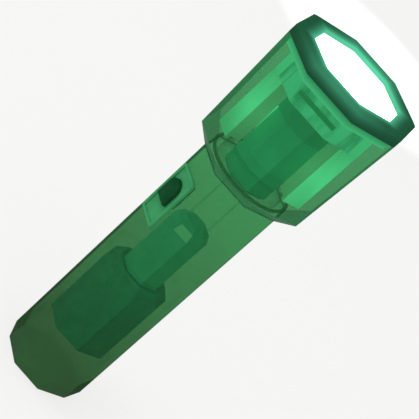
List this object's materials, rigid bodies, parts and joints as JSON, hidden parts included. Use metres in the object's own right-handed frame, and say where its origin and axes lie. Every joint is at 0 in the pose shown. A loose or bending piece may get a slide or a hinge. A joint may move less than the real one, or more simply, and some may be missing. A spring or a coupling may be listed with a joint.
{
  "type": "flashlight",
  "caption": "Hand torch with an octagonal see-through body, flared screw-off head, slide switch and shake generator.",
  "frame": {"origin": "Centre of the flat tail face, on the axis of the torch. The torch stands on that face.", "axes": "+Z runs along the barrel from the tail to the lens. The flat with the switch faces -Y. +X completes the frame."},
  "size_m": [0.0534, 0.0534, 0.1745],
  "materials": {
    "shell": "smooth see-through green moulded plastic",
    "head": "smooth see-through green moulded plastic",
    "bezel": "dark green moulded plastic",
    "lens": "clear moulded lens with a frosted back",
    "carrier": "bright green light-guiding plastic",
    "dark_plastic": "dark green matte plastic",
    "winding": "green enamelled copper wire",
    "magnet": "nickel plated magnet",
    "glide": "low friction plastic",
    "rubber": "soft elastomer",
    "can": "sleeved storage capacitor",
    "board": "circuit board laminate",
    "parts": "board components",
    "led": "lit emitter with a clear dome",
    "reflector": "metallised bowl",
    "brass": "brass strip",
    "plate": "satin green plastic plate",
    "knob": "dark green plastic",
    "reed": "glass reed capsule"
  },
  "bodies": {
    "barrel": {"barrel_shell": "shell", "rear_mount": "shell", "front_mount": "shell", "coil_shroud": "dark_plastic", "shroud_cap": "dark_plastic", "guide_tube": "dark_plastic", "coil_bobbin": "glide", "coil_winding": "winding", "tail_bumper": "rubber", "nose_bumper": "rubber", "coil_leads": "winding", "neck_contacts": "brass", "switch_plate": "plate", "switch_gasket": "rubber", "detent_spring": "brass", "reed_switch": "reed", "reed_clips": "shell"},
    "magnet": {"shaken_magnet": "magnet", "magnet_glides": "glide"},
    "switch": {"switch_knob": "knob", "switch_magnet": "magnet", "switch_slider": "knob"},
    "lamp": {"carrier_base": "shell", "lamp_carrier": "carrier", "carrier_contacts": "brass", "carrier_pads": "rubber", "board_sleeve": "can", "storage_can": "can", "can_cap": "can", "circuit_board": "board", "board_parts": "parts", "led_board": "board", "led_emitter": "led", "reflector": "reflector"},
    "head": {"head_shell": "head", "neck_ring": "rubber", "bezel": "bezel", "lens": "lens", "lens_gasket": "rubber"}
  },
  "joints": [
    {"name": "magnet_slide", "type": "slide", "parent": "barrel", "child": "magnet", "axis": [0, 0, 1], "range_m": [0, 0.0264]},
    {"name": "switch_slide", "type": "slide", "parent": "barrel", "child": "switch", "axis": [0, 0, 1], "range_m": [-0.006, 0]},
    {"name": "lamp_slide", "type": "slide", "parent": "barrel", "child": "lamp", "axis": [0, 0, 1], "range_m": [0, 0.006]},
    {"name": "head_turn", "type": "hinge", "parent": "lamp", "child": "head", "pos_m": [0, 0, 0.145], "axis": [0, 0, 1], "range_deg": [0, 720]}
  ],
  "couplings": [
    {"joint": "head_turn", "follows": "lamp_slide", "rad_per_m": 2094.4}
  ]
}
